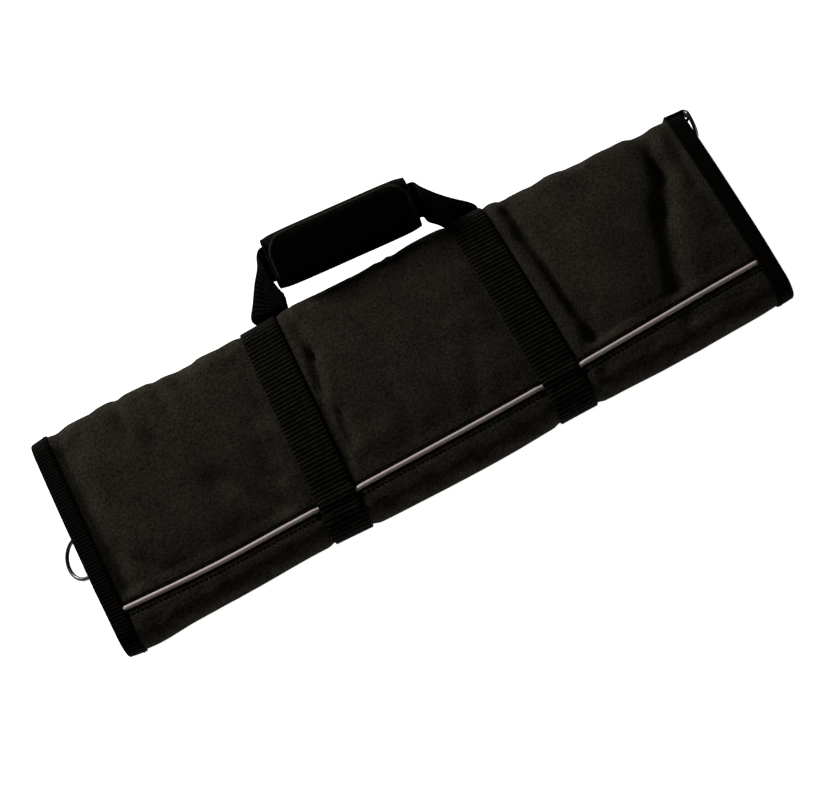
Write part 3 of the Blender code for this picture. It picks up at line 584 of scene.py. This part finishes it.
def pressed_out(grid, sewn, most):
    """How far padding presses each point of a sheet outwards, by a cloth simulation held where it is sewn."""
    rows, cols = grid.shape[:2]
    at_rows = np.unique(np.append(np.arange(0, rows, 2), rows - 1))
    at_cols = np.unique(np.append(np.arange(0, cols, 2), cols - 1))
    coarse = grid[np.ix_(at_rows, at_cols)]
    held = sewn[np.ix_(at_rows, at_cols)]
    across = len(at_cols)
    corners = [(r * across + c, (r + 1) * across + c, (r + 1) * across + c + 1, r * across + c + 1)
               for r in range(len(at_rows) - 1) for c in range(across - 1)]
    mesh = bpy.data.meshes.new("padding")
    mesh.from_pydata((coarse * MM).reshape(-1, 3).tolist(), [], corners)
    sheet = bpy.data.objects.new("padding", mesh)
    scene = bpy.context.scene
    scene.collection.objects.link(sheet)
    group = sheet.vertex_groups.new(name="sewn")
    for i, share in enumerate(held.ravel()):
        group.add([i], 1.0 if share > 0.5 else 0.0, "REPLACE")
    cloth = sheet.modifiers.new("cloth", "CLOTH")
    cloth.settings.vertex_group_mass = "sewn"
    cloth.settings.use_pressure = True
    cloth.settings.uniform_pressure_force = PRESSURE
    cloth.settings.shrink_min = -SPARE_CLOTH
    cloth.settings.effector_weights.gravity = 0.0
    cloth.point_cache.frame_start, cloth.point_cache.frame_end = 1, FRAMES
    for frame_number in range(1, FRAMES + 1):
        scene.frame_set(frame_number)
    evaluated = sheet.evaluated_get(bpy.context.evaluated_depsgraph_get())
    settled = np.array([v.co for v in evaluated.data.vertices]).reshape(coarse.shape) / MM
    moved = settled - coarse
    bpy.data.objects.remove(sheet)
    bpy.data.meshes.remove(mesh)
    scene.frame_set(1)
    size = np.linalg.norm(moved, axis=2, keepdims=True) + 1e-9
    moved *= most * np.tanh(size / most) / size
    by_row = np.array([[np.interp(np.arange(cols), at_cols, row[:, i]) for i in range(3)] for row in moved])
    full = np.zeros_like(grid)
    for c in range(cols):
        for i in range(3):
            full[:, c, i] = np.interp(np.arange(rows), at_rows, by_row[:, i, c])
    return full * (1 - sewn[..., None])


def roll():
    """The sheet, pressed out by its padding between the straps, tapes, piping and the floor."""
    columns = column_places()
    grid = np.stack([place(x, section(x)) for x in columns], 1)
    x = columns[None, :] + 0 * grid[..., 0]
    rows = np.arange(len(grid))[:, None] + 0 * x
    from_tape = LENGTH / 2 - abs(x) - COVER
    sewn = np.maximum.reduce([
        fade(abs(grid[..., 1] - piping_y(x)), 5, 16), fade(strap_distance(x), 1, 13), fade(from_tape, 1, 14),
        fade(grid[..., 2], 10, 8), (rows > len(grid) - RISE_ROWS - FLAT_ROWS) * 1.0,
    ])
    grid = grid + pressed_out(grid, sewn, ROLL_PADDING_MOVE)
    loops = walled(grid, SHEET, -1)
    return skin("roll", loops, POLYESTER, caps="strip")


def strap_section(x):
    """A strap's inner face at x, once round the roll."""
    quarter = math.pi / 2
    angles = np.linspace(-quarter, quarter, 25)
    y = np.linspace(fold_point(x, quarter, 1, False)[0], fold_point(x, quarter, -1, False)[0], 90)[1:-1]
    bump = (PIPING_PROUD + 0.2) * np.exp(-(((y - piping_y(x)) / 3.6) ** 2))
    front = np.stack([y, front_level(x, y, False) + bump], -1)
    ring = np.concatenate([fold_point(x, angles, 1, False), front, fold_point(x, -angles, -1, False)])
    y = np.linspace(ring[-1, 0], ring[0, 0], 50)[1:-1]
    return np.concatenate([ring, np.stack([y, np.full_like(y, float(back_level(x)))], -1)])


def strap(side):
    centre = STRAPS[side]
    rings = []
    for x in np.linspace(centre - WEBBING / 2, centre + WEBBING / 2, 9):
        ring = strap_section(x)
        outward = -left_of(np.concatenate([ring[-1:], ring, ring[:1]]))[1:-1]
        rings.append(place(x, ring + outward * GAP))
    loops = walled(np.stack(rings, 1), WEBBING_THICK, 1)
    return skin(f"strap_{side}_webbing", loops, STRAP_WEBBING, closed_rows=True)


def binding(side):
    """Tape folded over one short end, with its middle rounded over the sheet's end."""
    sign = -1 if side == "left" else 1
    end = sign * (LENGTH / 2 - TAPE - GAP)
    inner = sign * (LENGTH / 2 - COVER)
    half = SHEET / 2 + GAP
    flat = inner + (end - inner) * np.linspace(0, 1, 7)
    profile = [(x, x, -GAP) for x in flat]
    for angle in np.linspace(-math.pi / 2, math.pi / 2, 9)[1:-1]:
        profile.append((end + sign * GAP * math.cos(angle), end, half * math.sin(angle) + SHEET / 2))
    profile += [(x, x, SHEET + GAP) for x in flat[::-1]]
    grid = []
    for x, section_x, depth in profile:
        points = section(section_x, creased=False)
        row = points + left_of(points) * depth
        grid.append(np.stack([np.full(len(row), x), row[:, 0], row[:, 1]], -1))
    loops = walled(np.stack(grid, 1), TAPE, sign)
    return skin(f"binding_{side}_tape", loops, BINDING_TAPE, caps="strip")


def piping():
    half = LENGTH / 2 - COVER - 0.2
    x = np.linspace(-half, half, 260)
    y = piping_y(x)
    z = front_level(x, y, False) + PIPING_PROUD - PIPING_RADIUS
    return tube("piping_cord", place(x, np.stack([y, z], -1)), PIPING_RADIUS, PIPING, 16)


def handle_axes():
    along = np.array((1.0, 0, 0))
    rise = np.array((0, math.cos(TILT), math.sin(TILT)))
    return along, rise, np.cross(along, rise)


def handle_point(x, rise):
    along, up, _ = handle_axes()
    root = np.array((0, float(edge(FAR_EDGE, 0.0, 1)), HEIGHT / 2))
    return root + along * x + up * rise


def width_direction(turn, twist):
    along, up, front = handle_axes()
    flat = along * math.cos(math.radians(turn)) + up * math.sin(math.radians(turn))
    return flat * math.cos(math.radians(twist)) + front * math.sin(math.radians(twist))


def root_stations(x):
    stand_off = 2 * GAP + 1.5 * WEBBING_THICK
    points = []
    for degrees in (-46, -30, -12):
        angle = math.radians(degrees)
        point = fold_point(x, angle, 1, False)
        points.append(place(x, point + np.array((math.cos(angle), math.sin(angle))) * stand_off))
    return points


def grip_axis(distance):
    return handle_point(GRIP_X + distance * math.cos(GRIP_TURN), GRIP_RISE + distance * math.sin(GRIP_TURN))


def smooth_path(points, between):
    """Catmull-Rom rows through the given ones."""
    points = np.array(points, float)
    path = []
    for i in range(len(points) - 1):
        keys = [max(i - 1, 0), i, i + 1, min(i + 2, len(points) - 1)]
        for t in np.arange(between) / between:
            shares = np.array([
                -0.5 * t + t**2 - 0.5 * t**3, 1 - 2.5 * t**2 + 1.5 * t**3,
                0.5 * t + 2 * t**2 - 1.5 * t**3, -0.5 * t**2 + 0.5 * t**3,
            ])
            path.append(shares @ points[keys])
    return np.array(path + [points[-1]])


def handle_webbing():
    along = handle_axes()[0]
    rows = [np.concatenate([point, along]) for point in root_stations(ROOTS["left"])]
    for x, rise, turn, twist in LEFT_WEBBING:
        point = handle_point(ROOTS["left"] + x * WEBBING, rise * WEBBING)
        rows.append(np.concatenate([point, width_direction(turn, twist)]))
    across_grip = math.degrees(GRIP_TURN) - 90
    for share in (-0.53, -0.42, 0.0, 0.42, 0.53):
        rows.append(np.concatenate([grip_axis(share * GRIP_LENGTH), width_direction(across_grip, 0)]))
    for x, rise, turn, twist in reversed(RIGHT_WEBBING):
        point = handle_point(ROOTS["right"] + x * WEBBING, rise * WEBBING)
        rows.append(np.concatenate([point, width_direction(turn, twist)]))
    rows += [np.concatenate([point, -along]) for point in reversed(root_stations(ROOTS["right"]))]
    path = smooth_path(rows, 10)
    middle, width = path[:, :3], unit(path[:, 3:])
    shares = np.linspace(-0.5, 0.5, 7) * WEBBING
    grid = middle[:, None] + width[:, None] * shares[None, :, None]
    grid -= surface_normals(grid) * WEBBING_THICK / 2
    return skin("handle_webbing_strip", walled(grid, WEBBING_THICK, 1), SHADED_WEBBING, caps="strip")


def grip_outline(margin, count):
    """The grip's flat oval outline as (up, out) points, from its foot up the front and down the back."""
    half = WEBBING / 2
    radius = WEBBING_THICK / 2 + margin
    points = []
    for share in (np.arange(count) / count + 0.125) % 1.0:
        if share < 0.25:
            angle = math.pi * (share / 0.25 - 0.5)
            points.append((-half - radius * math.cos(angle), radius * math.sin(angle)))
        elif share < 0.5:
            points.append((half * (2 * (share - 0.25) / 0.25 - 1), radius))
        elif share < 0.75:
            angle = math.pi * (0.5 - (share - 0.5) / 0.25)
            points.append((half + radius * math.cos(angle), radius * math.sin(angle)))
        else:
            points.append((half * (1 - 2 * (share - 0.75) / 0.25), -radius))
    return np.array(points)


def grip_place(distance, point):
    front = handle_axes()[2]
    across = width_direction(math.degrees(GRIP_TURN) + 90, 0)
    return grip_axis(distance) + across * point[0] + front * point[1]


def grip():
    """The padded sleeve: plump between its ends, which are turned in."""
    half = GRIP_LENGTH / 2 * SLEEVE_SHARE
    radius = (GRIP_PADDING - 1.0) / 2
    steps = []
    for t in np.linspace(-1, 1, 41):
        swell = SLEEVE_SWELL * (1 - abs(t) ** 6) - SLEEVE_PULL * smooth((abs(t) - 0.9) / 0.1)
        steps.append((half * t, GRIP_MARGIN + GRIP_PADDING + swell - SLEEVE_INSET))
    turned_in = [(math.cos(angle) * SLEEVE_END, GRIP_MARGIN + 0.2 + radius + radius * math.sin(angle))
                 for angle in np.linspace(math.pi / 2, -math.pi / 2, 9)[1:-1]]
    steps += [(half + out, margin) for out, margin in turned_in]
    steps += [(half * t, GRIP_MARGIN) for t in np.linspace(1, -1, 21)]
    steps += [(-half - out, margin) for out, margin in reversed(turned_in)]
    outlines = [grip_outline(margin, GRIP_AROUND) for _, margin in steps]
    rows = [[grip_place(distance, outline[i]) for (distance, _), outline in zip(steps, outlines)]
            for i in range(GRIP_AROUND)]
    return skin("grip_sleeve", np.array(rows), SHADED_GRIP_POLYESTER, closed_rows=True)


def flap_point(distance, down, lift=0.0):
    """A point on the flap: along the grip from its middle, and down the front from the flap's upper edge."""
    outline = grip_outline(GRIP_MARGIN + GRIP_PADDING + FLAP_LIFT + lift, FLAP_DETAIL)
    line = outline[FLAP_OUTLINE][::-1]
    run = np.concatenate([[0], np.cumsum(np.linalg.norm(np.diff(line, axis=0), axis=1))])
    return grip_place(distance, (np.interp(down, run, line[:, 0]), np.interp(down, run, line[:, 1])))


def flap():
    """The flap over the sleeve's front, rounded at its upper corners and pressed out by its padding."""
    across = np.linspace(-1, 1, FLAP_ACROSS)
    downs = np.linspace(0, FLAP_DROP, FLAP_DOWN)
    grid = []
    for down in downs:
        into = max(0.0, 1 - down / FLAP_CORNER)
        reach = FLAP_HALF - FLAP_CORNER * (1 - math.sqrt(1 - into**2))
        grid.append([flap_point(reach * t, down) for t in across])
    grid = np.array(grid)
    from_side = FLAP_HALF - abs(across[None, :]) * FLAP_HALF
    down = downs[:, None]
    sewn = np.maximum(fade(from_side, 6, 4), np.maximum(fade(down, 6, 4), fade(FLAP_DROP - down, 1, 3)))
    grid = grid + pressed_out(grid, sewn, FLAP_PADDING_MOVE)
    return skin("grip_flap_cover", walled(grid, FLAP_THICK, 1), SHADED_GRIP_POLYESTER, caps="strip")


def flap_row(inset, lift):
    """A line round the flap's two sides and top, this far in from its edge."""
    half, corner = FLAP_HALF - inset, FLAP_CORNER - inset
    flat = [(-half, down) for down in np.linspace(FLAP_DROP - 1, FLAP_CORNER, 16)[:-1]]
    for angle in np.linspace(0, math.pi / 2, 9):
        flat.append((-half + corner * (1 - math.cos(angle)), FLAP_CORNER - corner * math.sin(angle)))
    flat += [(x, inset) for x in np.linspace(-half + corner, half - corner, 60)[1:-1]]
    for angle in np.linspace(math.pi / 2, 0, 9):
        flat.append((half - corner * (1 - math.cos(angle)), FLAP_CORNER - corner * math.sin(angle)))
    flat += [(half, down) for down in np.linspace(FLAP_CORNER, FLAP_DROP - 1, 16)[1:]]
    return np.array([flap_point(x, down, lift) for x, down in flat])


def stitch_tree():
    """Geometry Nodes that lay one stitch after another along each line of a mesh."""
    tree = bpy.data.node_groups.new("stitches_along_lines", "GeometryNodeTree")
    tree.interface.new_socket("Lines", in_out="INPUT", socket_type="NodeSocketGeometry")
    for name in ("Pitch", "Stitch Length", "Thread Radius"):
        tree.interface.new_socket(name, in_out="INPUT", socket_type="NodeSocketFloat")
    tree.interface.new_socket("Thread", in_out="INPUT", socket_type="NodeSocketMaterial")
    tree.interface.new_socket("Stitches", in_out="OUTPUT", socket_type="NodeSocketGeometry")
    given = add(tree, "NodeGroupInput")
    lines = add(tree, "GeometryNodeMeshToCurve", None, {"Mesh": (given, "Lines")})
    spaced = add(tree, "GeometryNodeResampleCurve", {"mode": "LENGTH"},
                 {"Curve": (lines, "Curve"), "Length": (given, "Pitch")})
    bead = add(tree, "GeometryNodeMeshUVSphere", {"Segments": 6, "Rings": 4, "Radius": 1.0})
    run = add(tree, "GeometryNodeInputTangent")
    turned = add(tree, "FunctionNodeAlignRotationToVector", {"axis": "Z"}, {"Vector": (run, "Tangent")})
    half = add(tree, "ShaderNodeMath", {"operation": "MULTIPLY", 1: 0.5}, {0: (given, "Stitch Length")})
    size = add(tree, "ShaderNodeCombineXYZ", None,
               {"X": (given, "Thread Radius"), "Y": (given, "Thread Radius"), "Z": (half, 0)})
    laid = add(tree, "GeometryNodeInstanceOnPoints", None, {
        "Points": (spaced, "Curve"), "Instance": (bead, "Mesh"), "Rotation": (turned, "Rotation"),
        "Scale": (size, 0),
    })
    real = add(tree, "GeometryNodeRealizeInstances", None, {"Geometry": (laid, "Instances")})
    done = add(tree, "GeometryNodeSetMaterial", None,
               {"Geometry": (real, "Geometry"), "Material": (given, "Thread")})
    add(tree, "NodeGroupOutput", None, {"Stitches": (done, "Geometry")})
    return tree


STITCHES = stitch_tree()


def stitches(name, lines, pitch, length, radius):
    """Rows of stitches along lines of points in millimetres, as one plain mesh."""
    points, edges = [], []
    for line in lines:
        edges += [(len(points) + i, len(points) + i + 1) for i in range(len(line) - 1)]
        points += [tuple(p) for p in np.asarray(line) * MM]
    mesh = bpy.data.meshes.new(f"{name}_lines")
    mesh.from_pydata(points, edges, [])
    guide = bpy.data.objects.new(f"{name}_lines", mesh)
    bpy.context.scene.collection.objects.link(guide)
    modifier = guide.modifiers.new("stitches", "NODES")
    modifier.node_group = STITCHES
    values = {
        "Pitch": pitch * MM, "Stitch Length": length * MM, "Thread Radius": radius * MM, "Thread": THREAD,
    }
    for socket in STITCHES.interface.items_tree:
        if socket.name in values:
            modifier[socket.identifier] = values[socket.name]
    evaluated = guide.evaluated_get(bpy.context.evaluated_depsgraph_get())
    made = bpy.data.meshes.new_from_object(evaluated)
    bpy.data.objects.remove(guide)
    made.name = name
    made.shade_smooth()
    piece = bpy.data.objects.new(name, made)
    bpy.context.scene.collection.objects.link(piece)
    return piece


def seam_lines():
    """The stitched row below the piping, between the tapes and straps."""
    stops = [-LENGTH / 2 + COVER + 1, STRAPS["left"] - WEBBING / 2 - 1, STRAPS["left"] + WEBBING / 2 + 1,
             STRAPS["right"] - WEBBING / 2 - 1, STRAPS["right"] + WEBBING / 2 + 1, LENGTH / 2 - COVER - 1]
    lines = []
    for start, stop in zip(stops[::2], stops[1::2]):
        x = np.linspace(start, stop, 80)
        y = piping_y(x) - DIP_BELOW
        z = front_level(x, y) - groove(np.full_like(x, -DIP_BELOW)) + 0.1
        lines.append(place(x, np.stack([y, z], -1)))
    return lines


def tape_lines():
    """The stitched rows along the inner edges of both end tapes, over the front and its folds."""
    lines = []
    for sign in (-1, 1):
        x = sign * (LENGTH / 2 - COVER)
        points = section(x, creased=False)
        points = (points - left_of(points) * (GAP + TAPE + 0.1))[TAPE_STITCH_ROWS]
        lines.append(np.stack([np.full(len(points), x + sign * 1.8), points[:, 0], points[:, 1]], -1))
    return lines


def ring_wire():
    """A D-ring's centre line: its bar along x, its bow towards y."""
    half = RING_INSIDE / 2 + WIRE
    line = []
    for angle in np.linspace(-math.pi / 2, 0, 7):
        across = half - RING_CORNER + RING_CORNER * math.cos(angle)
        line.append((across, RING_CORNER + RING_CORNER * math.sin(angle)))
    for angle in np.linspace(0, math.pi, 33):
        line.append((half * math.cos(angle), RING_CORNER + half * math.sin(angle)))
    return line + [(-x, y) for x, y in reversed(line[:7])]


def d_ring(side):
    centre = np.array(RING_PIVOTS[side])
    if side == "left":
        bar, out = np.array((0, 1.0, 0)), np.array((-math.cos(LEFT_DROOP), 0, -math.sin(LEFT_DROOP)))
    else:
        bar = np.array(RIGHT_BAR)
        outward = np.cross(bar, (1, 0, 0))
        out = np.array((1.0, 0, 0)) * math.cos(RIGHT_SWING) + outward * math.sin(RIGHT_SWING)
    path = np.array([centre + bar * x + out * y for x, y in ring_wire()])
    keep = np.linalg.norm(np.diff(np.concatenate([path, path[:1]]), axis=0), axis=1) > 0.05
    return tube(f"d_ring_{side}_wire", path[keep], WIRE, NICKEL, 16, closed=True, turns=np.cross(bar, out))


def tab(side):
    """A short fold of webbing round a ring's bar: under the fold at the right end, on the lap at the left."""
    sign = -1 if side == "left" else 1
    if side == "left":
        radius = WIRE + GAP
        depth = SHEET + TAPE + 2 * GAP + TAB_THICK + radius
        bar_x = RING_PIVOTS[side][0]
        y = np.linspace(*LEFT_TAB_SPAN, 9)
        path = np.stack([y, np.full_like(y, float(lap_level(LENGTH / 2)))], -1)

        def lines(x, inward):
            return path + np.array((0, inward))
    else:
        depth = SHEET / 2
        radius = depth + TAPE + 2 * GAP
        bar_x = RING_PIVOTS[side][0] - WIRE / 2

        def lines(x, inward):
            arc = fold_point(min(x, LENGTH / 2 - TAPE - GAP), RIGHT_TAB_ANGLES, 1, False)
            return arc + left_of(arc) * inward

    foot = bar_x - sign * TAB_LENGTH
    profile = [(foot + (bar_x - foot) * t, depth - radius) for t in np.linspace(0, 1, 7)[:-1]]
    for angle in np.linspace(-math.pi / 2, math.pi / 2, 13):
        profile.append((bar_x + sign * radius * math.cos(angle), depth + radius * math.sin(angle)))
    profile += [(foot + (bar_x - foot) * t, depth + radius) for t in np.linspace(1, 0, 7)[1:]]
    grid = []
    for x, inward in profile:
        row = lines(x, inward)
        grid.append(np.stack([np.full(len(row), x), row[:, 0], row[:, 1]], -1))
    loops = walled(np.array(grid), TAB_THICK, -sign)
    return skin(f"ring_tab_{side}_webbing", loops, SHADED_WEBBING, caps="strip")


make_camera()
make_stage()
pieces = {
    "roll_shell": roll(), "strap_left": strap("left"), "strap_right": strap("right"),
    "binding_left": binding("left"), "binding_right": binding("right"), "piping": piping(),
    "handle_webbing": handle_webbing(), "grip_wrap": grip(), "grip_flap": flap(),
    "ring_tab_left": tab("left"), "ring_tab_right": tab("right"),
}
for node, piece in pieces.items():
    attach(piece, "roll")
    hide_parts(node)
for side in ("left", "right"):
    wire = d_ring(side)
    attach(wire, f"ring_{side}")
    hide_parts(f"d_ring_{side}")
extras = {
    "roll": [stitches("seam_stitches", seam_lines(), 3.2, 2.4, 0.55)],
    "webbing": [
        stitches("tape_stitches", tape_lines(), 3.0, 2.2, 0.25),
        stitches("flap_stitches", [flap_row(3.0, FLAP_THICK), flap_row(6.0, FLAP_THICK)], 2.6, 1.9, 0.3),
    ],
}
rolled = tube("flap_rolled_edge", flap_row(0.2, FLAP_THICK / 2), FLAP_THICK / 2 + 0.4, POLYESTER, 12)
extras["roll"].append(rolled)
for slot, made in extras.items():
    for piece in made:
        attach(piece, "roll")
